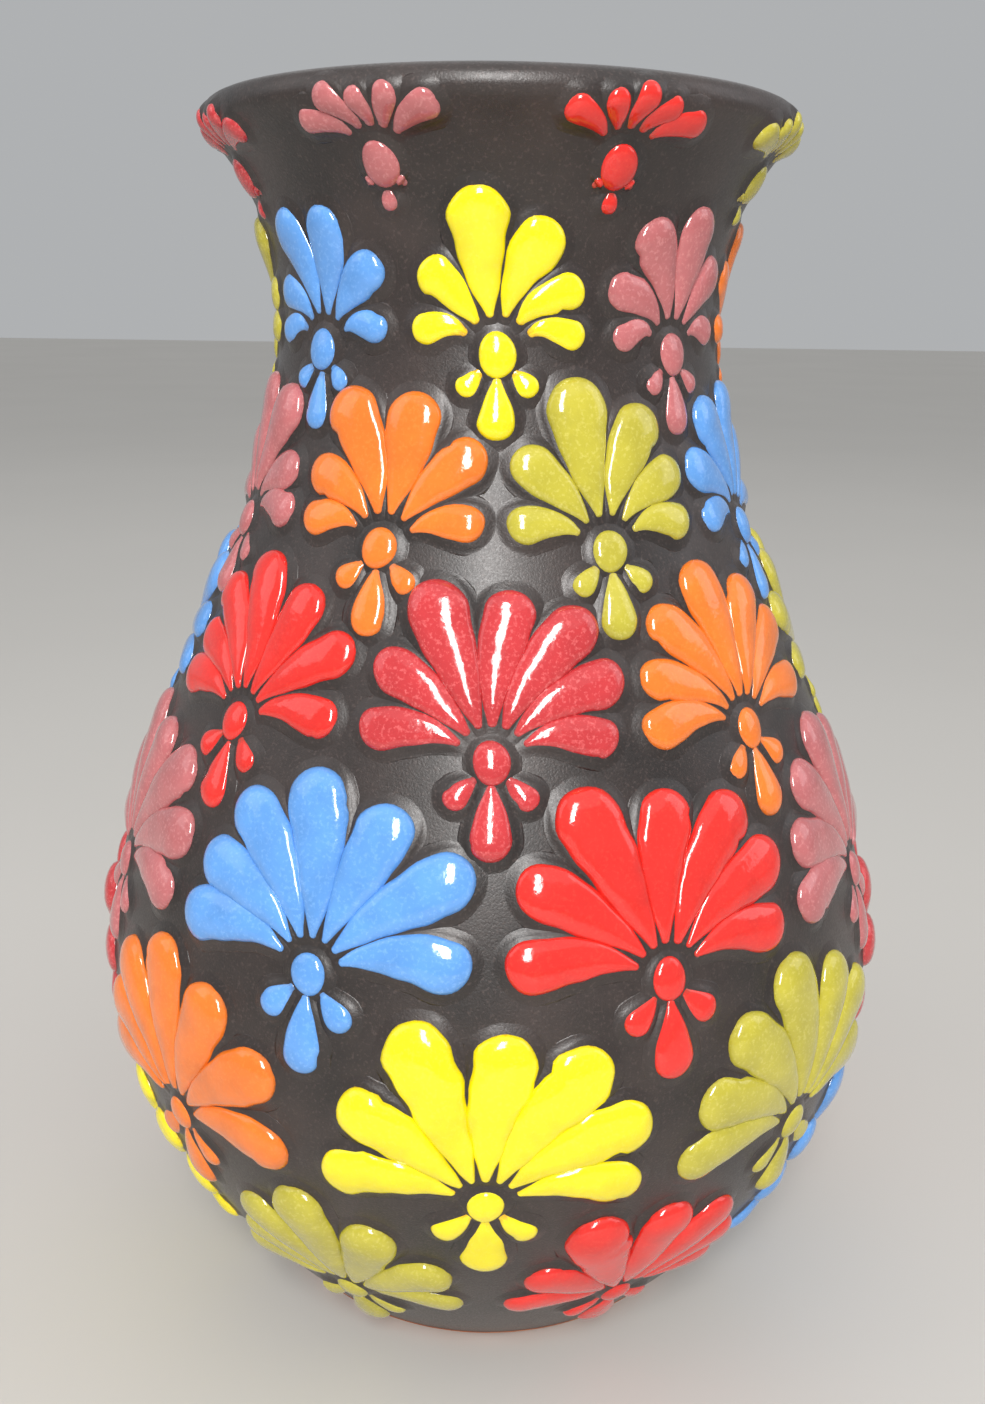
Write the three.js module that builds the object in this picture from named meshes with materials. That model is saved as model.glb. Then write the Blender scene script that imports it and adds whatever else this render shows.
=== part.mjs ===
// Wheel-thrown flared vase, painted with raised enamel flower sprays over a dark glaze.
// Millimetres, +Z up, foot on z = 0, front towards -Y.
import * as THREE from "three";

// ---------------------------------------------------------------- driving dimensions
// Outside of the glazed vessel: [height, radius, slope] at the foot, belly, waist and rim.
const PROFILE = [[0, 50, 0.8], [75, 83, 0], [208, 42.5, 0], [237.5, 54.5, 0.9]];
const LIP_RADIUS = 3.0;        // rounded lip, half its thickness
const WALL = 6.5;              // finished wall, outside to inside
const FLOOR_TOP = 10.0;        // inside floor height
const GLAZE = 1.0;             // glaze coat thickness
const GAP = 0.3;               // gap kept between touching pieces
const BARE_FOOT = 3.0;         // height of the unglazed foot
const FOOT_RECESS = 3.0;       // hollow under the base
const FOOT_RING = 8.0;         // width of the ring it stands on
const LINER_TOP = 222.0;       // where the inside glaze meets the coat that wraps the lip
const SEGMENTS = 36;           // facets round the vessel

const ENAMEL_LIFT = 0.4;       // enamel's underside above the glaze
const ENAMEL_RISE = 2.0;       // height of a stroke at its widest
const HUB_RADIUS = 2.8;        // blob at a spray's heart that its tails run into
const HUB_RISE = 1.0;
const LIP_ZONE = 250;          // strokes past this distance up the outline bend over the lip
const TAIL_SPACING = 0.4;      // least angle between tails at the heart, radians

const PAINTS = {
  yellow: 0xf7e21a, lime: 0xe0dc60, orange: 0xf2903a, red: 0xe8392f,
  crimson: 0xc93a48, blue: 0x74aeea, pink: 0xe58f8c,
};

// ---------------------------------------------------------------- painted sprays
// The same number of sprays stands round every tier, each tier half a step on from the one below.
const ROUND = 8;
// [name, height of the hearts up the outline (mm), petals, spread of the fan (deg), paints from
//  the front to the right].
const TIERS = [
  ["foot", 30, 7, 156, ["red", "blue", "orange", "pink", "blue", "crimson", "yellow", "lime"]],
  ["low", 70, 7, 160, ["yellow", "lime", "crimson", "blue", "yellow", "red", "crimson", "orange"]],
  ["belly", 110, 7, 160, ["red", "pink", "blue", "orange", "lime", "crimson", "pink", "blue"]],
  ["shoulder", 148, 7, 156, ["crimson", "orange", "lime", "pink", "blue", "yellow", "blue", "red"]],
  ["neck", 183, 6, 146, ["lime", "blue", "red", "yellow", "crimson", "lime", "pink", "orange"]],
  ["collar", 216, 6, 146, ["yellow", "pink", "orange", "blue", "red", "orange", "lime", "blue"]],
  ["lip", 246, 5, 100, ["red", "lime", "yellow", "crimson", "pink", "yellow", "crimson", "pink"]],
];
const LIP_REACH = 16.5;        // room above the top tier, up round the lip
const SIDE_GAP = 1.8;          // kept free at the side of each spray's share of its tier
const TOP_GAP = 3.2;           // kept free above a fan, under the tier over it
const FULLNESS = 2.5;          // 2 gives every fan an elliptical edge, more fills the corners
const PETAL_START = 6.8;       // where a petal's tail begins, from the heart
const PETAL_SHARE = 0.68;      // petal width over the pitch of the petals
const TAIL_DRAW = 0.78;        // tails' spread over the heads' spread
const LEAN = 6;                // degrees that a fan leans, to either side by turns
const REACH_WAVE = 0.1;        // most that a petal falls short of its full reach
// Leaves under the heart: [direction (deg), reach as a share of the tier's height].
const LEAVES = [[-135, 0.3], [-90, 0.46], [-45, 0.3]];

// ---------------------------------------------------------------- outline of the vessel
// Outside radius at height z: a smooth cubic between the knots, straight on above the last.
function outerRadius(z) {
  const [lastZ, lastR, lastSlope] = PROFILE[PROFILE.length - 1];
  if (z > lastZ) return lastR + lastSlope * (z - lastZ);
  let i = 0;
  while (i < PROFILE.length - 2 && z > PROFILE[i + 1][0]) i += 1;
  const [z0, r0, m0] = PROFILE[i];
  const [z1, r1, m1] = PROFILE[i + 1];
  const span = z1 - z0;
  const t = (z - z0) / span;
  return r0 * (1 + 2 * t) * (1 - t) ** 2
    + m0 * span * t * (1 - t) ** 2
    + r1 * t * t * (3 - 2 * t)
    + m1 * span * t * t * (t - 1);
}

// Fine outline from the foot, up the outside, round the lip and down the inside.
// Each entry: [r, z, outward normal r, outward normal z, distance along the outline].
const [RIM_Z, , RIM_SLOPE] = PROFILE[PROFILE.length - 1];
const INSIDE_STEP = (RIM_Z - FLOOR_TOP) / 240;

function outlinePoints() {
  const pts = [];
  for (let z = 0; z <= RIM_Z; z += 0.5) pts.push([outerRadius(z), z]);
  const start = Math.atan2(-RIM_SLOPE, 1);
  const rim = outerRadius(RIM_Z);
  const centre = [rim - LIP_RADIUS * Math.cos(start), RIM_Z - LIP_RADIUS * Math.sin(start)];
  for (let k = 1; k <= 20; k += 1) {
    const a = start + (Math.PI * k) / 20;
    pts.push([centre[0] + LIP_RADIUS * Math.cos(a), centre[1] + LIP_RADIUS * Math.sin(a)]);
  }
  const [lastR, lastZ] = pts[pts.length - 1];
  const lipThickness = outerRadius(lastZ) - lastR;
  for (let z = lastZ - INSIDE_STEP; z > FLOOR_TOP + 12; z -= INSIDE_STEP) {
    const blend = Math.min(1, (lastZ - z) / 30);
    pts.push([outerRadius(z) - lipThickness - (WALL - lipThickness) * blend, z]);
  }
  return pts;
}

function withNormals(pts) {
  let travelled = 0;
  return pts.map(([r, z], i) => {
    const [ra, za] = pts[Math.max(i - 1, 0)];
    const [rb, zb] = pts[Math.min(i + 1, pts.length - 1)];
    const len = Math.hypot(rb - ra, zb - za);
    if (i > 0) travelled += Math.hypot(r - ra, z - za);
    return [r, z, (zb - za) / len, -(rb - ra) / len, travelled];
  });
}

const OUTLINE = withNormals(outlinePoints());

// Outline entry at distance s along it.
function outlineAt(s) {
  let lo = 0;
  let hi = OUTLINE.length - 1;
  while (hi - lo > 1) {
    const mid = (lo + hi) >> 1;
    if (OUTLINE[mid][4] <= s) lo = mid;
    else hi = mid;
  }
  const t = Math.min(1, Math.max(0, (s - OUTLINE[lo][4]) / (OUTLINE[hi][4] - OUTLINE[lo][4])));
  return OUTLINE[lo].map((v, k) => v + (OUTLINE[hi][k] - v) * t);
}

// Distances along the outline of the places the pieces need.
const crest = OUTLINE.reduce((best, p) => (p[1] > best[1] ? p : best));
const rimStart = OUTLINE.find((p) => p[1] >= RIM_Z)[4];
const insideStart = rimStart + Math.PI * LIP_RADIUS;
const lastInside = OUTLINE[OUTLINE.length - 1];
const linerMeet = OUTLINE.find((p) => p[4] > insideStart && p[1] <= LINER_TOP)[4];
const glazeStart = OUTLINE.find((p) => p[1] >= BARE_FOOT)[4];

function spaced(from, to, count) {
  return Array.from({ length: count + 1 }, (_, i) => from + ((to - from) * i) / count);
}

// Outline points at the given distances, moved in by depth along the normal.
function offsetPoints(distances, depth) {
  return distances.map((s) => {
    const [r, z, nr, nz] = outlineAt(s);
    return new THREE.Vector2(r - nr * depth, z - nz * depth);
  });
}

// ---------------------------------------------------------------- clay and glaze
// Lathe a closed or axis-to-axis outline about +Z. The outline runs with the material on its left.
function lathe(points) {
  return new THREE.LatheGeometry(points, SEGMENTS).rotateX(Math.PI / 2);
}

const outerStations = [
  ...spaced(glazeStart, 175, 15),
  ...spaced(175, 220, 5).slice(1),
  ...spaced(220, rimStart, 7).slice(1),
];
const lipStations = spaced(rimStart, insideStart, 5).slice(1);
const neckInside = spaced(insideStart, linerMeet, 5).slice(1);
const linerStations = spaced(linerMeet, lastInside[4], 10);
const buriedOuter = spaced(glazeStart, rimStart, 13);
const buriedLip = spaced(rimStart, insideStart, 3).slice(1);

// Where the wall's foot meets the inside floor, at a depth below the finished surface.
function floorCorner(depth) {
  return new THREE.Vector2(lastInside[0] - 9 + depth / 2, FLOOR_TOP - depth);
}

// Clay: ring foot, recessed base, wall, lip and inside floor.
function clayOutline() {
  const depth = GLAZE + GAP;
  const foot = outerRadius(0);
  const shoulder = outerRadius(BARE_FOOT);
  const inside = offsetPoints(linerStations.slice(1), depth);
  return [
    new THREE.Vector2(0, FOOT_RECESS),
    new THREE.Vector2(foot - FOOT_RING - 1, FOOT_RECESS),
    new THREE.Vector2(foot - FOOT_RING, 0),
    new THREE.Vector2(foot - 0.8, 0),
    new THREE.Vector2(foot, 0.8),
    new THREE.Vector2(shoulder, BARE_FOOT - GAP),
    ...offsetPoints([...buriedOuter, ...buriedLip, ...neckInside], depth),
    ...inside,
    floorCorner(depth),
    new THREE.Vector2(0, FLOOR_TOP - depth),
  ];
}

// Dark glaze: outside, over the lip and a little way down the mouth. Closes on itself.
function coatOutline() {
  const outer = offsetPoints([...outerStations, ...lipStations, ...neckInside], 0);
  const inner = offsetPoints([...buriedOuter, ...buriedLip, ...neckInside], GLAZE);
  return [...outer, ...inner.reverse(), outer[0].clone()];
}

// Inside glaze: from the coat's edge down the wall and over the floor.
function linerOutline() {
  const stations = [linerMeet + GAP, ...linerStations.slice(1)];
  const face = offsetPoints(stations, 0);
  const back = offsetPoints(stations, GLAZE);
  return [
    ...face,
    floorCorner(0),
    new THREE.Vector2(0, FLOOR_TOP),
    new THREE.Vector2(0, FLOOR_TOP - GLAZE),
    floorCorner(GLAZE),
    ...back.reverse(),
    face[0].clone(),
  ];
}

// ---------------------------------------------------------------- enamel strokes
const RAD = Math.PI / 180;

// A point lifted off the glaze: x round the vessel and y up the outline from a spray's heart.
function onVessel(spray, x, y, lift) {
  const [r, z, nr, nz] = outlineAt(spray.along + y);
  const a = spray.azimuth * RAD + x / r;
  const out = r + nr * lift;
  return [out * Math.sin(a), -out * Math.cos(a), z + nz * lift];
}

// A slow wave between 0 and 1, so that neighbouring petals differ.
function wave(n) {
  return 0.5 + 0.5 * Math.sin(2.4 * n);
}

// Strokes of one spray: a fan of petals that fills its share of the tier, and leaves under it.
// Stroke: [tail direction, tail distance, head direction, head distance, width], from the heart,
// in degrees and mm, 0 deg = right, 90 deg = up.
function sprayStrokes(tier, place) {
  const [, along, petals, spread] = TIERS[tier];
  const above = tier + 1 < TIERS.length ? TIERS[tier + 1][1] : along + LIP_REACH;
  const across = (Math.PI * outlineAt(along)[0]) / ROUND - SIDE_GAP;
  const up = above - along - TOP_GAP;
  const lean = place % 2 ? LEAN : -LEAN;
  const step = spread / (petals - 1);
  const fan = Array.from({ length: petals }, (_, p) => {
    const fromTop = spread / 2 - p * step;
    const head = 90 + fromTop + lean * Math.cos(fromTop * RAD);
    const sides = [Math.cos(head * RAD) / across, Math.sin(head * RAD) / up];
    const full = sides.reduce((sum, v) => sum + Math.abs(v) ** FULLNESS, 0) ** (-1 / FULLNESS);
    const reach = full * (1 - REACH_WAVE * wave(place * petals + p));
    const width = PETAL_SHARE * reach * step * RAD;
    return [90 + fromTop * TAIL_DRAW, PETAL_START, head, reach, width];
  });
  const leaves = LEAVES.map(([dir, share]) => {
    const reach = share * (above - along);
    return [dir, HUB_RADIUS + 1.5, dir, reach, 0.42 * reach];
  });
  return [...fan, ...leaves];
}

// Centre line of a stroke: it leaves the heart straight and bows over to where the head lies.
function strokeCentre([tailDir, tailR, headDir, headR, width], t) {
  const endR = headR - width / 2;
  const bendR = (tailR + endR) / 2;
  return [Math.cos, Math.sin].map((axis) => (1 - t) ** 2 * tailR * axis(tailDir * RAD)
    + 2 * t * (1 - t) * bendR * axis(tailDir * RAD)
    + t * t * endR * axis(headDir * RAD));
}

// Half-width and rise of a stroke, as shares of its full width and rise, from tail to head.
function swell(t) {
  return [0.15 + 0.33 * t ** 0.8, 0.4 + 0.6 * Math.sqrt(t)];
}

// Section across a stroke: left edge, right edge and ridge. Where the glaze bends sharply, at the
// lip, the underside gets a middle corner too, so that it follows the bend.
function section(spray, onLip, [x, y], direction, half, rise) {
  const nx = -Math.sin(direction) * half;
  const ny = Math.cos(direction) * half;
  return [
    onVessel(spray, x + nx, y + ny, ENAMEL_LIFT),
    ...(onLip ? [onVessel(spray, x, y, ENAMEL_LIFT)] : []),
    onVessel(spray, x - nx, y - ny, ENAMEL_LIFT),
    onVessel(spray, x, y, ENAMEL_LIFT + rise),
  ];
}

// How far the outline's normal turns between two heights, in radians.
function turnBetween(spray, ya, yb) {
  const a = outlineAt(spray.along + ya);
  const b = outlineAt(spray.along + yb);
  return Math.abs(Math.atan2(a[2] * b[3] - a[3] * b[2], a[2] * b[2] + a[3] * b[3]));
}

// Directions in which the tails leave the heart, kept apart so that they do not cross.
function tailDirections(strokes) {
  const dirs = strokes.map((s) => s[0] * RAD);
  const order = dirs.map((_, i) => i).sort((i, j) => dirs[i] - dirs[j]);
  for (let pass = 0; pass < 40; pass += 1) {
    for (let k = 0; k + 1 < order.length; k += 1) {
      const lack = TAIL_SPACING - (dirs[order[k + 1]] - dirs[order[k]]);
      if (lack > 0) {
        dirs[order[k]] -= lack / 2;
        dirs[order[k + 1]] += lack / 2;
      }
    }
  }
  return { dirs, order };
}

// One spray as a single closed solid: petals whose thin tails run out of a low blob at the heart.
function spraySolid(spray, strokes) {
  const verts = [
    onVessel(spray, 0, 0, ENAMEL_LIFT + HUB_RISE),
    onVessel(spray, 0, 0, ENAMEL_LIFT),
  ];
  const tris = [];
  const push = (points) => {
    verts.push(...points);
    return verts.length - points.length;
  };
  const { dirs, order } = tailDirections(strokes);
  const ring = [];
  for (const i of order) {
    const stroke = strokes[i];
    const width = stroke[4];
    const out = [HUB_RADIUS * Math.cos(dirs[i]), HUB_RADIUS * Math.sin(dirs[i])];
    const reachesUp = Math.max(strokeCentre(stroke, 0)[1], strokeCentre(stroke, 1)[1]);
    const onLip = spray.along + reachesUp > LIP_ZONE;
    const corners = onLip ? 4 : 3;
    let at = push(section(spray, onLip, out, dirs[i], 0.45, HUB_RISE * 0.7));
    ring.push([dirs[i], at, corners - 2]);
    const join = (points) => {
      const next = push(points);
      for (let c = 0; c < corners; c += 1) {
        const d = (c + 1) % corners;
        tris.push([at + c, next + d, at + d], [at + c, next + c, next + d]);
      }
      at = next;
    };
    // Longest straight run that stays clear of the curved glaze under it.
    const longest = Math.sqrt(1.6 * outlineAt(spray.along + out[1])[0]);
    const start = strokeCentre(stroke, 0.04);
    const lead = [start[0] - out[0], start[1] - out[1]];
    const threads = Math.ceil(Math.hypot(...lead) / longest);
    for (let k = 1; k < threads; k += 1) {
      const point = out.map((v, j) => v + (lead[j] * k) / threads);
      join(section(spray, onLip, point, Math.atan2(lead[1], lead[0]), 0.45, HUB_RISE * 0.7));
    }
    const end = strokeCentre(stroke, 0.92);
    const run = Math.hypot(end[0] - start[0], end[1] - start[1]);
    const turn = turnBetween(spray, start[1], end[1]);
    const steps = Math.ceil(Math.max(run / longest, turn / 0.25));
    const places = Array.from({ length: steps + 1 }, (_, k) => 0.04 + (0.88 * k) / steps);
    if (onLip) places.push(1);
    for (const t of places) {
      const [xa, ya] = strokeCentre(stroke, t - 0.04);
      const [xb, yb] = strokeCentre(stroke, t + 0.04);
      const [half, rise] = t < 1 ? swell(t) : [0.36, 0.85];
      const heading = Math.atan2(yb - ya, xb - xa);
      const centre = strokeCentre(stroke, t);
      join(section(spray, onLip, centre, heading, half * width, rise * ENAMEL_RISE));
    }
    const [xa, ya] = end;
    const [xb, yb] = strokeCentre(stroke, 1);
    const len = Math.hypot(xb - xa, yb - ya);
    const reach = width * 0.35;
    const tip = push([onVessel(
      spray, xb + ((xb - xa) / len) * reach, yb + ((yb - ya) / len) * reach, ENAMEL_LIFT + 0.3,
    )]);
    for (let c = 0; c < corners; c += 1) tris.push([at + ((c + 1) % corners), at + c, tip]);
  }
  // The blob's roof and underside, closed between neighbouring tails.
  ring.forEach(([dir, at, right], k) => {
    const [nextDir, nextAt, nextRight] = ring[(k + 1) % ring.length];
    const turn = (nextDir - dir + 4 * Math.PI) % (2 * Math.PI);
    const rim = [at];
    const extra = Math.floor(turn / 1.8);
    for (let e = 1; e <= extra; e += 1) {
      const a = dir + (turn * e) / (extra + 1);
      rim.push(push([onVessel(spray, HUB_RADIUS * Math.cos(a), HUB_RADIUS * Math.sin(a), ENAMEL_LIFT)]));
    }
    rim.push(nextAt + nextRight);
    tris.push([0, at + right, at + right + 1], [0, at + right + 1, at]);
    for (let c = 0; c < right; c += 1) tris.push([1, at + c, at + c + 1]);
    for (let e = 0; e + 1 < rim.length; e += 1) {
      tris.push([0, rim[e], rim[e + 1]], [1, rim[e + 1], rim[e]]);
    }
  });
  const geometry = new THREE.BufferGeometry();
  geometry.setAttribute("position", new THREE.Float32BufferAttribute(verts.flat(), 3));
  geometry.setIndex(tris.flat());
  return geometry;
}

// ---------------------------------------------------------------- assembly
const group = new THREE.Group();

function add(name, geometry, color, roughness) {
  const mesh = new THREE.Mesh(geometry, new THREE.MeshStandardMaterial({ color, roughness }));
  mesh.name = name;
  group.add(mesh);
}

add("clay_body", lathe(clayOutline()), 0xa8643f, 0.85);
add("glaze_coat", lathe(coatOutline()), 0x2e2420, 0.3);
add("glaze_liner", lathe(linerOutline()), 0x3a2a22, 0.35);

TIERS.forEach(([tierName, along, , , paints], tier) => {
  paints.forEach((paint, place) => {
    const azimuth = ((place + (tier % 2 ? 0 : 0.5)) * 360) / ROUND;
    const solid = spraySolid({ azimuth, along }, sprayStrokes(tier, place));
    add(`spray_${tierName}_${place + 1}`, solid, PAINTS[paint], 0.2);
  });
});

export default group;
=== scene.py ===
"""Dark-glazed vase covered in raised enamel flower sprays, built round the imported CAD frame."""
import math
import random

import bpy
from mathutils import Matrix, Vector


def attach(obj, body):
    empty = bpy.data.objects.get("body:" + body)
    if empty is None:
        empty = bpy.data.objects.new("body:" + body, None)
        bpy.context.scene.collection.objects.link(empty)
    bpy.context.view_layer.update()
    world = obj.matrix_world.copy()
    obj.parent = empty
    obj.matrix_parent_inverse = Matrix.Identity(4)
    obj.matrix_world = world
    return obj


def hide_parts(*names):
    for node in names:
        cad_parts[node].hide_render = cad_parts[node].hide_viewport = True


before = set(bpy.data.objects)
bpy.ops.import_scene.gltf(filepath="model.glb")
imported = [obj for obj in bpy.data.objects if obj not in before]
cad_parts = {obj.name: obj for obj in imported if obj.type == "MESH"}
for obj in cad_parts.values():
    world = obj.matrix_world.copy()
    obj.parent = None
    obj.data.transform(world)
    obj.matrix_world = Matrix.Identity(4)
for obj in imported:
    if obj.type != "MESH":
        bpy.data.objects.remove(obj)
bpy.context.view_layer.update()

MM = 0.001

# ---------------------------------------------------------------- vessel, in millimetres
# Outside of the glazed vessel: (height, radius, slope) at the foot, belly, waist and rim.
PROFILE = [(0, 50, 0.8), (75, 83, 0), (208, 42.5, 0), (237.5, 54.5, 0.9)]
LIP_RADIUS = 3.0        # rounded lip, half its thickness
WALL = 6.5              # finished wall, outside to inside
FLOOR_TOP = 10.0        # inside floor height
GLAZE = 1.0             # glaze coat thickness
GAP = 0.3               # gap kept between touching pieces
BARE_FOOT = 3.0         # height of the unglazed foot
FOOT_RECESS = 3.0       # hollow under the base
FOOT_RING = 8.0         # width of the ring it stands on
LINER_TOP = 222.0       # where the inside glaze meets the coat that wraps the lip
SEGMENTS = 240          # quads round the vessel
RIM_Z, RIM_R, RIM_SLOPE = PROFILE[-1]

# ---------------------------------------------------------------- painted sprays
# The same number of sprays stands round every tier, each tier half a step on from the one below.
ROUND = 8
# (name, height of the hearts up the outline in mm, petals, spread of the fan in degrees, paints
#  from the front to the right).
TIERS = [
    ("foot", 30, 7, 156, "red blue orange pink blue crimson yellow lime"),
    ("low", 70, 7, 160, "yellow lime crimson blue yellow red crimson orange"),
    ("belly", 110, 7, 160, "red pink blue orange lime crimson pink blue"),
    ("shoulder", 148, 7, 156, "crimson orange lime pink blue yellow blue red"),
    ("neck", 183, 6, 146, "lime blue red yellow crimson lime pink orange"),
    ("collar", 216, 6, 146, "yellow pink orange blue red orange lime blue"),
    ("lip", 246, 5, 100, "red lime yellow crimson pink yellow crimson pink"),
]
LIP_REACH = 16.5        # room above the top tier, up round the lip
SIDE_GAP = 1.8          # kept free at the side of each spray's share of its tier
TOP_GAP = 3.2           # kept free above a fan, under the tier over it
FULLNESS = 2.5          # 2 gives every fan an elliptical edge, more fills the corners
PETAL_START = 6.8       # where a petal's tail begins, from the heart
LEAF_START = 4.3        # where a leaf's tail begins, from the heart
PETAL_SHARE = 0.68      # petal width over the pitch of the petals
LEAF_SHARE = 0.42       # leaf width over its reach
TAIL_DRAW = 0.78        # tails' spread over the heads' spread
LEAN = 6                # degrees that a fan leans, to either side by turns
REACH_WAVE = 0.1        # most that a petal falls short of its full reach
# Leaves under the heart: (direction in degrees, reach as a share of the tier's height).
LEAVES = [(-135, 0.3), (-90, 0.46), (-45, 0.3)]
# The bud on every heart: (direction, distance, width round the vessel, height up the outline).
BUD = (0, 0, 6.6, 7.6)


# ---------------------------------------------------------------- outline of the vessel
def outer_radius(z):
    """Outside radius at height z: a smooth cubic between the knots, straight on above the last."""
    if z > RIM_Z:
        return RIM_R + RIM_SLOPE * (z - RIM_Z)
    i = 0
    while i < len(PROFILE) - 2 and z > PROFILE[i + 1][0]:
        i += 1
    (z0, r0, m0), (z1, r1, m1) = PROFILE[i], PROFILE[i + 1]
    span = z1 - z0
    t = (z - z0) / span
    return (r0 * (1 + 2 * t) * (1 - t) ** 2 + m0 * span * t * (1 - t) ** 2
            + r1 * t * t * (3 - 2 * t) + m1 * span * t * t * (t - 1))


def outline_points():
    """Outline (r, z) from the foot, up the outside, round the lip and down the inside."""
    pts = [(outer_radius(0.5 * k), 0.5 * k) for k in range(int(RIM_Z * 2) + 1)]
    start = math.atan2(-RIM_SLOPE, 1)
    centre = (RIM_R - LIP_RADIUS * math.cos(start), RIM_Z - LIP_RADIUS * math.sin(start))
    for k in range(1, 21):
        a = start + math.pi * k / 20
        pts.append((centre[0] + LIP_RADIUS * math.cos(a), centre[1] + LIP_RADIUS * math.sin(a)))
    last_r, last_z = pts[-1]
    lip_thickness = outer_radius(last_z) - last_r
    step = (RIM_Z - FLOOR_TOP) / 240
    z = last_z - step
    while z > FLOOR_TOP + 12:
        blend = min(1, (last_z - z) / 30)
        pts.append((outer_radius(z) - lip_thickness - (WALL - lip_thickness) * blend, z))
        z -= step
    return pts


def with_normals(pts):
    """Adds to each point its outward normal and its distance along the outline."""
    out = []
    travelled = 0.0
    for i, (r, z) in enumerate(pts):
        ra, za = pts[max(i - 1, 0)]
        rb, zb = pts[min(i + 1, len(pts) - 1)]
        length = math.hypot(rb - ra, zb - za)
        if i > 0:
            travelled += math.hypot(r - ra, z - za)
        out.append((r, z, (zb - za) / length, -(rb - ra) / length, travelled))
    return out


OUTLINE = with_normals(outline_points())


def outline_at(s):
    """Outline entry (r, z, normal r, normal z, s) at distance s along it."""
    lo, hi = 0, len(OUTLINE) - 1
    while hi - lo > 1:
        mid = (lo + hi) // 2
        if OUTLINE[mid][4] <= s:
            lo = mid
        else:
            hi = mid
    a, b = OUTLINE[lo], OUTLINE[hi]
    t = min(1, max(0, (s - a[4]) / (b[4] - a[4])))
    return [u + (v - u) * t for u, v in zip(a, b)]


def distance_where(test):
    return next(p[4] for p in OUTLINE if test(p))


GLAZE_START = distance_where(lambda p: p[1] >= BARE_FOOT)
RIM_START = distance_where(lambda p: p[1] >= RIM_Z)
INSIDE_START = RIM_START + math.pi * LIP_RADIUS
LAST_INSIDE = OUTLINE[-1]
LINER_MEET = distance_where(lambda p: p[4] > INSIDE_START and p[1] <= LINER_TOP)


def spaced(start, stop, count):
    return [start + (stop - start) * i / count for i in range(count + 1)]


def offset(distances, depth):
    """Outline points (r, z) at the given distances, moved in by depth along the normal."""
    pts = []
    for s in distances:
        r, z, nr, nz, _ = outline_at(s)
        pts.append((r - nr * depth, z - nz * depth))
    return pts


# ---------------------------------------------------------------- mesh helpers
def new_object(name, verts, faces, material, smooth=True, attributes=()):
    """Mesh object from millimetre vertices, riding on the vase."""
    mesh = bpy.data.meshes.new(name)
    mesh.from_pydata([(x * MM, y * MM, z * MM) for x, y, z in verts], [], faces)
    mesh.validate()
    for attr, kind, values in attributes:
        layer = mesh.attributes.new(attr, kind, "POINT")
        key = "vector" if kind == "FLOAT_VECTOR" else "value"
        flat = [c for v in values for c in v] if key == "vector" else values
        layer.data.foreach_set(key, flat)
    if smooth:
        mesh.polygons.foreach_set("use_smooth", [True] * len(mesh.polygons))
    mesh.materials.append(material)
    obj = bpy.data.objects.new(name, mesh)
    bpy.context.collection.objects.link(obj)
    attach(obj, "root")
    return obj


def lathe(name, outline, material):
    """Turns an outline about +Z. It closes on itself, or starts and ends on the axis."""
    closed = outline[0][0] > 0
    rings = []
    verts = []
    for r, z in outline:
        if r <= 0:
            rings.append([len(verts)] * SEGMENTS)
            verts.append((0, 0, z))
            continue
        rings.append(range(len(verts), len(verts) + SEGMENTS))
        for k in range(SEGMENTS):
            a = 2 * math.pi * k / SEGMENTS
            verts.append((r * math.cos(a), r * math.sin(a), z))
    pairs = list(zip(rings, rings[1:]))
    if closed:
        pairs.append((rings[-1], rings[0]))
    faces = []
    for low, high in pairs:
        for k in range(SEGMENTS):
            n = (k + 1) % SEGMENTS
            face = [low[k], low[n], high[n], high[k]]
            faces.append([v for i, v in enumerate(face) if v not in face[:i]])
    return new_object(name, verts, faces, material)


# ---------------------------------------------------------------- materials
def srgb(r, g, b):
    """Linear colour from 0-255 display values."""
    def channel(v):
        v /= 255
        return v / 12.92 if v <= 0.04045 else ((v + 0.055) / 1.055) ** 2.4
    return (channel(r), channel(g), channel(b), 1)


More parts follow.
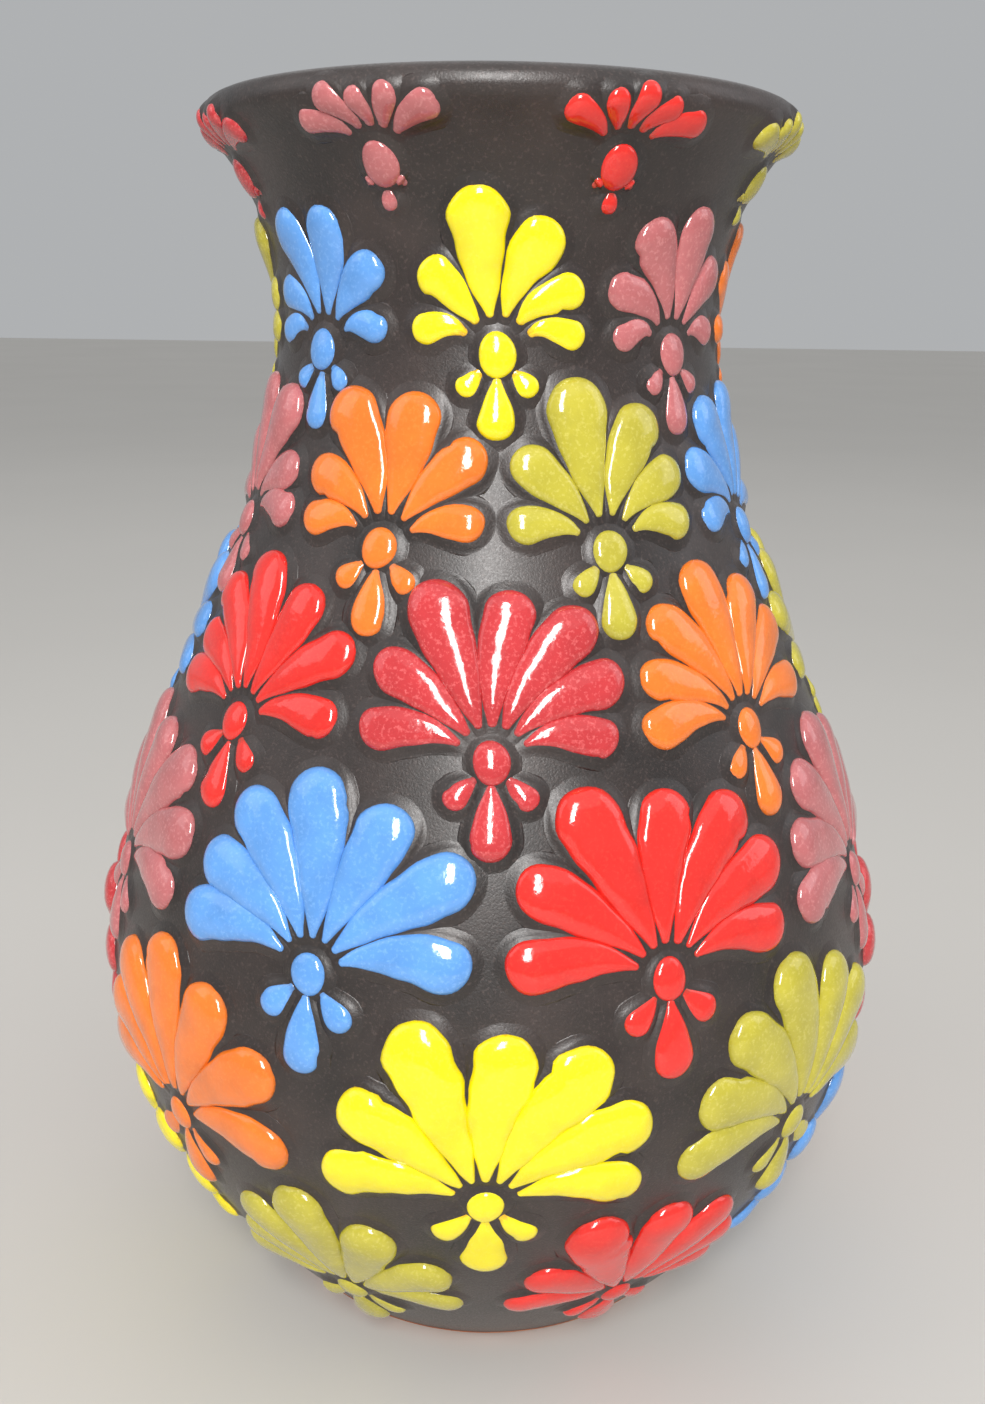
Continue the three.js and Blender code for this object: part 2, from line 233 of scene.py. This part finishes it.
class Nodes:
    """A material with a Principled shader and short calls to add and link nodes."""

    def __init__(self, name, **inputs):
        self.material = bpy.data.materials.new(name)
        self.material.use_nodes = True
        self.tree = self.material.node_tree
        self.shader = self.tree.nodes["Principled BSDF"]
        for key, value in inputs.items():
            self.shader.inputs[key.replace("_", " ")].default_value = value

    def add(self, kind, settings=None, **inputs):
        node = self.tree.nodes.new(kind)
        for key, value in (settings or {}).items():
            setattr(node, key, value)
        for key, value in inputs.items():
            socket = node.inputs[int(key[1:])] if key[0] == "i" and key[1:].isdigit() else node.inputs[key]
            if isinstance(value, bpy.types.NodeSocket):
                self.tree.links.new(value, socket)
            else:
                socket.default_value = value
        return node

    def math(self, op, a, b=0.0, c=0.0, clamp=False):
        return self.add("ShaderNodeMath", {"operation": op, "use_clamp": clamp}, i0=a, i1=b, i2=c).outputs[0]

    def noise(self, vector, scale, detail=4.0, rough=0.5):
        return self.add("ShaderNodeTexNoise", Vector=vector, Scale=scale, Detail=detail,
                        Roughness=rough).outputs["Fac"]

    def ramp(self, fac, low, high):
        """fac rescaled so that low gives 0 and high gives 1."""
        return self.add("ShaderNodeMapRange", Value=fac, **{"From Min": low, "From Max": high}).outputs[0]

    def mix(self, fac, a, b):
        node = self.add("ShaderNodeMix", {"data_type": "RGBA"})
        for socket, value in ((0, fac), (6, a), (7, b)):
            if isinstance(value, bpy.types.NodeSocket):
                self.tree.links.new(value, node.inputs[socket])
            else:
                node.inputs[socket].default_value = value
        return node.outputs[2]

    def place(self):
        return self.add("ShaderNodeTexCoord").outputs["Object"]

    def attribute(self, name, output):
        return self.add("ShaderNodeAttribute", {"attribute_name": name}).outputs[output]

    def bump(self, height, strength, distance):
        return self.add("ShaderNodeBump", Height=height, Strength=strength, Distance=distance).outputs[0]

    def to_shader(self, **links):
        for key, value in links.items():
            self.tree.links.new(value, self.shader.inputs[key.replace("_", " ")])
        return self.material


def clay_material():
    n = Nodes("terracotta")
    where = n.place()
    mottle = n.noise(where, 180.0, 6.0, 0.6)
    grit = n.noise(where, 1400.0, 3.0, 0.7)
    tone = n.mix(n.ramp(mottle, 0.3, 0.7), srgb(150, 84, 52), srgb(186, 118, 80))
    color = n.mix(n.ramp(grit, 0.58, 0.75), tone, srgb(96, 52, 34))
    rough = n.math("ADD", n.math("MULTIPLY", grit, 0.2), 0.72)
    return n.to_shader(Base_Color=color, Roughness=rough, Normal=n.bump(grit, 0.5, 0.0003))


def glaze_material(name, dark, light, roughness):
    """Satin dark glaze: faint brown mottling and a fine grain that sparkles in the highlights."""
    n = Nodes(name, Coat_Weight=0.3, Coat_Roughness=0.3)
    where = n.place()
    cloud = n.noise(where, 60.0, 5.0, 0.6)
    grain = n.noise(where, 2600.0, 2.0, 0.6)
    fleck = n.ramp(n.noise(where, 1900.0, 2.0, 0.5), 0.56, 0.74)
    base = n.mix(n.ramp(cloud, 0.35, 0.7), dark, light)
    color = n.mix(n.math("MULTIPLY", fleck, 0.4), base, srgb(92, 78, 74))
    rough = n.math("ADD", n.math("MULTIPLY", n.ramp(grain, 0.3, 0.7), 0.2), roughness)
    height = n.math("ADD", grain, n.math("MULTIPLY", cloud, 1.5))
    return n.to_shader(Base_Color=color, Roughness=rough, Normal=n.bump(height, 0.55, 0.00012))


def enamel_material(paint, head, tail, speckle, spots):
    """Glossy enamel: full colour where thick, thin streaks of the tail colour where it was dragged."""
    n = Nodes("enamel_" + paint, Roughness=0.12, Coat_Weight=0.4, Coat_Roughness=0.05,
              Specular_IOR_Level=0.6)
    where = n.place()
    petal = n.attribute("petal", "Vector")
    cover = n.attribute("cover", "Fac")
    drag = n.add("ShaderNodeMapping", Vector=petal, Scale=(1.3, 0.16, 1.0)).outputs[0]
    streak = n.noise(drag, 1.5, 4.0, 0.6)
    cloud = n.noise(where, 150.0, 3.0, 0.5)
    fine = n.noise(where, 1500.0, 2.0, 0.6)
    thick = n.math("ADD", cover, n.math("MULTIPLY", n.math("SUBTRACT", streak, 0.5), 1.1))
    full = n.ramp(thick, 0.25, 0.72)
    body = n.mix(n.ramp(cloud, 0.35, 0.7), head, [0.82 * c for c in head[:3]] + [1])
    speck = n.math("MULTIPLY", n.ramp(fine, 0.52, 0.7), speckle)
    body = n.mix(speck, body, spots)
    color = n.mix(full, tail, body)
    wave = n.noise(petal, 0.55, 2.0, 0.5)
    height = n.math("ADD", n.math("MULTIPLY", wave, 1.0), n.math("MULTIPLY", n.math("SUBTRACT", 1.0, full),
                                                                 n.math("MULTIPLY", streak, 0.5)))
    return n.to_shader(Base_Color=color, Normal=n.bump(height, 0.16, 0.0006))


CLAY = clay_material()
DARK = glaze_material("dark_glaze", srgb(32, 26, 24), srgb(54, 44, 41), 0.32)
LINER = glaze_material("liner_glaze", srgb(50, 34, 27), srgb(74, 52, 40), 0.28)
# paint: head colour, tail colour, how strongly it is speckled, colour of the specks
PAINTS = {
    "yellow": (srgb(250, 232, 10), srgb(216, 160, 30), 0.10, srgb(255, 248, 130)),
    "lime": (srgb(190, 180, 58), srgb(168, 150, 62), 0.25, srgb(232, 224, 130)),
    "orange": (srgb(240, 122, 36), srgb(186, 104, 58), 0.15, srgb(250, 164, 84)),
    "red": (srgb(228, 42, 34), srgb(176, 56, 40), 0.15, srgb(246, 90, 68)),
    "crimson": (srgb(196, 54, 58), srgb(150, 56, 56), 0.55, srgb(228, 112, 112)),
    "blue": (srgb(96, 156, 226), srgb(78, 108, 150), 0.25, srgb(150, 198, 248)),
    "pink": (srgb(188, 106, 108), srgb(156, 92, 92), 0.30, srgb(232, 164, 162)),
}
ENAMELS = {paint: enamel_material(paint, *look) for paint, look in PAINTS.items()}


# ---------------------------------------------------------------- clay and glaze
OUTER = spaced(GLAZE_START, RIM_START, 150) + spaced(RIM_START, INSIDE_START, 14)[1:]
MOUTH = spaced(INSIDE_START, LINER_MEET, 16)[1:]
INSIDE = spaced(LINER_MEET, LAST_INSIDE[4], 60)
BURIED = spaced(GLAZE_START, RIM_START, 40) + spaced(RIM_START, INSIDE_START, 6)[1:] + MOUTH[1::2]


def floor_corner(depth):
    return (LAST_INSIDE[0] - 9 + depth / 2, FLOOR_TOP - depth)


def floor_round(depth):
    """Rounded turn from the wall's foot to the inside floor."""
    (r0, z0), (r1, z1) = offset([LAST_INSIDE[4]], depth)[0], floor_corner(depth)
    r2, z2 = r1 - 14, z1
    pts = []
    for k in range(1, 12):
        t = k / 11
        pts.append(((1 - t) ** 2 * r0 + 2 * t * (1 - t) * r1 + t * t * r2,
                    (1 - t) ** 2 * z0 + 2 * t * (1 - t) * z1 + t * t * z2))
    return pts


def clay_outline():
    depth = GLAZE + GAP
    foot = outer_radius(0)
    shoulder = outer_radius(BARE_FOOT)
    return [
        (0, FOOT_RECESS), (foot - FOOT_RING - 1.6, FOOT_RECESS), (foot - FOOT_RING - 0.8, FOOT_RECESS - 0.4),
        (foot - FOOT_RING - 0.2, 0.5), (foot - FOOT_RING + 0.3, 0), (foot - 1.0, 0), (foot - 0.3, 0.25),
        (foot, 0.8), (foot + (shoulder - foot) * 0.6, 0.8 + (BARE_FOOT - 1.1) * 0.6),
        (shoulder, BARE_FOOT - GAP), (shoulder - 0.5, BARE_FOOT + 0.2),
        *offset(BURIED, depth), *offset(INSIDE[1:], depth), *floor_round(depth), (0, FLOOR_TOP - depth),
    ]


def coat_outline():
    """Outside glaze, over the lip and a little way down the mouth, with a soft edge at the foot."""
    outer = offset(OUTER + MOUTH, 0)
    inner = offset(BURIED, GLAZE)
    edge = [(outer[0][0] - 0.5, outer[0][1] - 0.45), (outer[0][0] - 0.1, outer[0][1] - 0.2)]
    return [*edge, *outer, *reversed(inner)]


def liner_outline():
    stations = [LINER_MEET + 0.02, *INSIDE[1:]]
    face = offset(stations, 0)
    back = offset(stations, GLAZE)
    return [(0, FLOOR_TOP - GLAZE), *reversed(floor_round(GLAZE)), *reversed(back), *face,
            *floor_round(0), (0, FLOOR_TOP)]


clay = lathe("clay_foot_and_wall", clay_outline(), CLAY)
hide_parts("clay_body")
coat = lathe("glaze_outside", coat_outline(), DARK)
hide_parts("glaze_coat")
liner = lathe("glaze_inside", liner_outline(), LINER)
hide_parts("glaze_liner")


# ---------------------------------------------------------------- enamel strokes and dots
DOME = 12               # quads across a stroke
SINK = 0.55             # how far the underside is sunk into the glaze, mm
TAIL_HALF = 0.85        # half-width of a tail's end, mm
SKIRT = 2.2             # how far the glaze creeps up to a stroke, mm


def on_vessel(spray, x, y, lift):
    """Point lifted off the glaze, x round the vessel and y up the outline from a spray's heart."""
    r, z, nr, nz, _ = outline_at(spray[1] + y)
    a = math.radians(spray[0]) + x / r
    out = r + nr * lift
    return (out * math.sin(a), -out * math.cos(a), z + nz * lift)


def polar(direction, distance):
    a = math.radians(direction)
    return (distance * math.cos(a), distance * math.sin(a))


def spray_strokes(tier, place):
    """One spray's strokes: a fan of petals that fills its share of the tier, and leaves under it.

    Each stroke is (tail direction, tail distance, head direction, head distance, width) from the
    heart, in degrees and millimetres, 0 to the right and 90 up.
    """
    _, along, petals, spread, _ = TIERS[tier]
    above = TIERS[tier + 1][1] if tier + 1 < len(TIERS) else along + LIP_REACH
    across = math.pi * outline_at(along)[0] / ROUND - SIDE_GAP
    up = above - along - TOP_GAP
    lean = LEAN if place % 2 else -LEAN
    step = spread / (petals - 1)
    strokes = []
    for p in range(petals):
        from_top = spread / 2 - p * step
        head = 90 + from_top + lean * math.cos(math.radians(from_top))
        sides = (math.cos(math.radians(head)) / across, math.sin(math.radians(head)) / up)
        full = sum(abs(v) ** FULLNESS for v in sides) ** (-1 / FULLNESS)
        wave = 0.5 + 0.5 * math.sin(2.4 * (place * petals + p))
        reach = full * (1 - REACH_WAVE * wave)
        width = PETAL_SHARE * reach * math.radians(step)
        strokes.append((90 + from_top * TAIL_DRAW, PETAL_START, head, reach, width))
    for direction, share in LEAVES:
        reach = share * (above - along)
        strokes.append((direction, LEAF_START, direction, reach, LEAF_SHARE * reach))
    return strokes


def stroke_centre(stroke, t):
    """Centre line: it leaves the heart straight and bows over to where the head lies."""
    tail_dir, tail_r, head_dir, head_r, width = stroke
    end_r = head_r - width / 2
    (x0, y0), (x2, y2) = polar(tail_dir, tail_r), polar(head_dir, end_r)
    x1, y1 = polar(tail_dir, (tail_r + end_r) / 2)
    a, b, c = (1 - t) ** 2, 2 * t * (1 - t), t * t
    return (a * x0 + b * x1 + c * x2, a * y0 + b * y1 + c * y2)


class Shape:
    """One hand-laid stroke, with its own seeded irregularities."""

    def __init__(self, stroke, lumpy, rng):
        self.stroke = stroke
        self.half_end = stroke[4] / 2 * rng.uniform(1.02, 1.1)
        self.tail_half = min(TAIL_HALF, 0.6 * self.half_end) * rng.uniform(0.8, 1.15)
        self.top = (0.5 + 0.4 * self.half_end) * rng.uniform(0.92, 1.1)
        self.phases = [rng.uniform(0, 2 * math.pi) for _ in range(4)]
        self.notch_side = rng.choice((-1, 1, 0, 0))
        self.notch_back = rng.uniform(0.7, 1.5) * self.half_end
        self.notch_deep = rng.uniform(0.08, 0.16)
        self.lumpy = lumpy
        self.seed = rng.uniform(0, 90)
        pts = [stroke_centre(stroke, k / 24) for k in range(25)]
        self.length = sum(math.dist(a, b) for a, b in zip(pts, pts[1:]))

    def plan(self, grow):
        """(t, distance past that end, share of the full half-width) of each section."""
        count = max(8, round(self.length / 1.2))
        caps = [(math.sin(a), math.cos(a)) for a in (math.pi / 2 * 0.97 * k / 7 for k in range(1, 8))]
        tail = [(0, -(self.tail_half + grow) * out, share) for out, share in reversed(caps[1::2])]
        head = [(1, (self.half_end + grow) * out, share) for out, share in caps]
        return tail + [(k / count, 0, 1) for k in range(count + 1)] + head

    def sections(self, grow=0.0):
        """(x, y, heading, left half, right half, rise, distance along, core radius, past) in turn."""
        found = []
        for t, past, share in self.plan(grow):
            x, y = stroke_centre(self.stroke, t)
            xa, ya = stroke_centre(self.stroke, max(0, t - 0.04))
            xb, yb = stroke_centre(self.stroke, min(1, t + 0.04))
            heading = math.atan2(yb - ya, xb - xa)
            x += past * math.cos(heading)
            y += past * math.sin(heading)
            along = self.length * t + past
            core = self.tail_half + (self.half_end - self.tail_half) * (1 - (1 - t) ** 1.6)
            sides = []
            for i, side in enumerate((-1, 1)):
                wave = self.lumpy * math.sin(along / 2.1 + self.phases[i])
                wave += 0.7 * self.lumpy * math.sin(along / 0.95 + self.phases[i + 2])
                back = self.length + self.half_end - along - self.notch_back
                dip = self.notch_deep * math.exp(-(back / 0.8) ** 2) if self.notch_side == side else 0
                sides.append(core * (1 + wave - dip))
            rise = self.top * (0.38 + 0.62 * t ** 0.6) * (1 + 1.6 * self.lumpy * math.sin(
                along / 2.7 + self.phases[3]))
            if grow == 0:
                rise *= share ** 0.7
            found.append((x, y, heading, (sides[0] + grow) * share, (sides[1] + grow) * share, rise,
                          along, core, past))
        return found


class Drops:
    """Collects closed domed drops of enamel, or of the glaze round them, into one mesh."""

    def __init__(self):
        self.verts = []
        self.faces = []
        self.petal = []
        self.cover = []

    def section(self, spray, place, profile, seed):
        """Ring of points across one section. profile: (across -1..1, lift, cover) from left to right."""
        x, y, heading, left, right = place[:5]
        first = len(self.verts)
        for across, lift, cover in profile:
            side = across * (left if across > 0 else right)
            self.verts.append(on_vessel(
                spray, x - math.sin(heading) * side, y + math.cos(heading) * side, lift))
            self.petal.append((side, place[6], seed))
            self.cover.append(cover)
        return range(first, len(self.verts))

    def close(self, rings):
        """Joins the rings into a closed drop."""
        count = len(rings[0])
        for a, b in zip(rings, rings[1:]):
            for k in range(count):
                n = (k + 1) % count
                self.faces.append((a[k], a[n], b[n], b[k]))
        self.faces.append(tuple(reversed(rings[0])))
        self.faces.append(tuple(rings[-1]))

    def stroke(self, spray, shape):
        rings = []
        for place in shape.sections():
            profile = [(-0.8, -SINK, 0), (0.8, -SINK, 0)]
            for k in range(DOME + 1):
                a = math.pi * (k / DOME - 0.5)
                lift = place[5] * max(0.0, math.cos(a)) ** 0.68
                profile.append((-math.sin(a), lift - 0.05, min(1, lift / 1.1)))
            rings.append(self.section(spray, place, profile, shape.seed))
        self.close(rings)

    def skirt(self, spray, shape):
        """Glaze drawn up in a hollow fillet round a stroke."""
        rings = []
        for place in shape.sections(SKIRT):
            core, past = place[7:]
            climb = min(0.7, 0.55 * place[5])
            profile = [(-0.9, -SINK, 0), (0.9, -SINK, 0)]
            fractions = [(core + SKIRT * u) / (core + SKIRT) for u in (1, 0.75, 0.5, 0.25, 0)]
            for f in fractions + [0] + [-f for f in reversed(fractions)]:
                gone = math.hypot(f * (place[3] + place[4]) / 2, past) - core
                u = min(1, max(0, gone / SKIRT))
                profile.append((f, climb * (1 - u) ** 2 - 0.03 * u, 0))
            rings.append(self.section(spray, place, profile, shape.seed))
        self.close(rings)

    def dot(self, spray, dot, rng, grow=0.0, climb=None):
        """Round drop. With grow and climb it is the glaze drawn up round one."""
        direction, distance, width, height = dot
        cx = distance * math.cos(math.radians(direction))
        cy = distance * math.sin(math.radians(direction))
        sides = 24
        phase = rng.uniform(0, 2 * math.pi)
        seed = rng.uniform(0, 90)
        rise = 0.35 + 0.2 * min(width, height)
        rings = [[-SINK, 0.85], [-0.05, 1.0]]
        for k in range(1, 7):
            a = math.pi / 2 * k / 7
            rings.append([rise * math.sin(a) ** 0.72, math.cos(a)])
        if climb is not None:
            core = 1 - grow / (min(width, height) / 2 + grow)
            rings = [[-SINK, 0.95]]
            for u in (1, 0.75, 0.5, 0.25, 0):
                rings.append([climb * (1 - u) ** 2 - 0.03 * u, core + (1 - core) * u])
        loops = []
        for lift, share in rings:
            first = len(self.verts)
            for k in range(sides):
                a = 2 * math.pi * k / sides
                wobble = 1 + 0.035 * math.sin(2 * a + phase) + 0.02 * math.sin(3 * a + 2 * phase)
                x = cx + (width / 2 + grow) * share * wobble * math.cos(a)
                y = cy + (height / 2 + grow) * share * wobble * math.sin(a)
                self.verts.append(on_vessel(spray, x, y, lift))
                self.petal.append((x - cx, y - cy, seed))
                self.cover.append(min(1, 0.4 + max(0, lift)))
            loops.append(range(first, len(self.verts)))
        for a, b in zip(loops, loops[1:]):
            for k in range(sides):
                n = (k + 1) % sides
                self.faces.append((a[k], a[n], b[n], b[k]))
        self.faces.append(tuple(reversed(loops[0])))
        top = len(self.verts)
        self.verts.append(on_vessel(spray, cx, cy, rings[-1][0] if climb is not None else rise))
        self.petal.append((0, 0, seed))
        self.cover.append(1)
        last = loops[-1]
        for k in range(sides):
            self.faces.append((last[k], last[(k + 1) % sides], top))

    def build(self, name, material):
        return new_object(name, self.verts, self.faces, material, attributes=(
            ("petal", "FLOAT_VECTOR", self.petal), ("cover", "FLOAT", self.cover)))


# Glaze fillets, gathered by height so that no piece grows too large.
FILLET_BANDS = ((60, "glaze_round_foot_sprays"), (140, "glaze_round_belly_sprays"),
                (400, "glaze_round_neck_sprays"))
fillets = {name: Drops() for _, name in FILLET_BANDS}


def lay_spray(tier, place, paint, rng):
    """Enamel of one spray, and the glaze fillets round its strokes."""
    tier_name, along = TIERS[tier][:2]
    azimuth = (place + (0 if tier % 2 else 0.5)) * 360 / ROUND
    spray = (azimuth, along)
    enamel = Drops()
    pool = fillets[next(band for limit, band in FILLET_BANDS if along < limit)]
    for stroke in spray_strokes(tier, place):
        shape = Shape(stroke, 0.055 if paint == "yellow" else 0.03, rng)
        enamel.stroke(spray, shape)
        pool.skirt(spray, shape)
    state = rng.getstate()
    enamel.dot(spray, BUD, rng)
    rng.setstate(state)
    pool.dot(spray, BUD, rng, SKIRT, 0.6)
    name = "%s_%d" % (tier_name, place + 1)
    piece = enamel.build("enamel_" + name, ENAMELS[paint])
    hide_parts("spray_" + name)


for tier, (_, _, _, _, paints) in enumerate(TIERS):
    for place, paint in enumerate(paints.split()):
        lay_spray(tier, place, paint, random.Random(1000 + ROUND * tier + place))
for name, drops in fillets.items():
    drops.build(name, DARK)


# ---------------------------------------------------------------- floor, light and camera
def floor_material():
    n = Nodes("pale_floor", Roughness=0.7)
    soft = n.noise(n.place(), 3.0, 3.0, 0.5)
    return n.to_shader(Base_Color=n.mix(soft, srgb(190, 187, 182), srgb(198, 195, 190)))


FLOOR_HALF = 6.0
floor_mesh = bpy.data.meshes.new("floor")
floor_mesh.from_pydata(
    [(-FLOOR_HALF, -FLOOR_HALF, 0), (FLOOR_HALF, -FLOOR_HALF, 0),
     (FLOOR_HALF, FLOOR_HALF, 0), (-FLOOR_HALF, FLOOR_HALF, 0)], [], [(0, 1, 2, 3)])
floor_mesh.materials.append(floor_material())
floor = bpy.data.objects.new("floor", floor_mesh)
bpy.context.collection.objects.link(floor)


def softbox(name, azimuth, elevation, distance, size, power, color, target=(0, 0, 0.13)):
    """Rectangular area light that looks at the target."""
    light = bpy.data.lights.new(name, "AREA")
    light.shape = "RECTANGLE"
    light.size, light.size_y = size
    light.energy = power
    light.color = color
    obj = bpy.data.objects.new(name, light)
    a, e = math.radians(azimuth), math.radians(elevation)
    aim = Vector(target)
    obj.location = aim + distance * Vector((
        math.sin(a) * math.cos(e), -math.cos(a) * math.cos(e), math.sin(e)))
    obj.rotation_euler = (aim - obj.location).to_track_quat("-Z", "Y").to_euler()
    bpy.context.collection.objects.link(obj)


softbox("key", -3, 34, 0.85, (0.16, 0.50), 7.0, (1.0, 0.98, 0.96))
softbox("left", -80, 35, 1.2, (0.7, 0.9), 1.8, (0.96, 0.98, 1.0))
softbox("right", 88, 30, 1.2, (0.6, 0.8), 1.8, (0.97, 0.96, 1.0))
softbox("back", 180, 50, 1.3, (1.0, 1.0), 1.4, (1.0, 1.0, 1.0))
sky = bpy.data.lights.new("overhead", "SUN")
sky.energy = 0.55
sky.angle = math.radians(80)
sky_obj = bpy.data.objects.new("overhead", sky)
sky_obj.rotation_euler = (math.radians(12), math.radians(8), 0)
bpy.context.collection.objects.link(sky_obj)

world = bpy.data.worlds.new("studio")
world.use_nodes = True
world.node_tree.nodes["Background"].inputs["Color"].default_value = (0.86, 0.88, 0.90, 1)
world.node_tree.nodes["Background"].inputs["Strength"].default_value = 0.5
bpy.context.scene.world = world
bpy.context.scene.view_settings.view_transform = "Standard"

CAMERA_AT = (0, -0.250, 0.209)
CAMERA_DOWN = math.radians(18.5)
CAMERA_ROLL = math.radians(0.8)
FOCAL_PX = 1200
FRAME_HEIGHT_PX = 1404
SENSOR = 36.0
camera_data = bpy.data.cameras.new("camera")
camera_data.sensor_fit = "VERTICAL"
camera_data.sensor_height = SENSOR
camera_data.lens = SENSOR * FOCAL_PX / FRAME_HEIGHT_PX
camera_data.clip_start = 0.01
camera = bpy.data.objects.new("camera", camera_data)
level_right = Vector((1, 0, 0))
level_up = Vector((0, math.sin(CAMERA_DOWN), math.cos(CAMERA_DOWN)))
back = Vector((0, -math.cos(CAMERA_DOWN), math.sin(CAMERA_DOWN)))
right = math.cos(CAMERA_ROLL) * level_right + math.sin(CAMERA_ROLL) * level_up
up = math.cos(CAMERA_ROLL) * level_up - math.sin(CAMERA_ROLL) * level_right
turn = Matrix((right, up, back)).transposed()
camera.matrix_world = Matrix.Translation(CAMERA_AT) @ turn.to_4x4()
bpy.context.collection.objects.link(camera)
bpy.context.scene.camera = camera
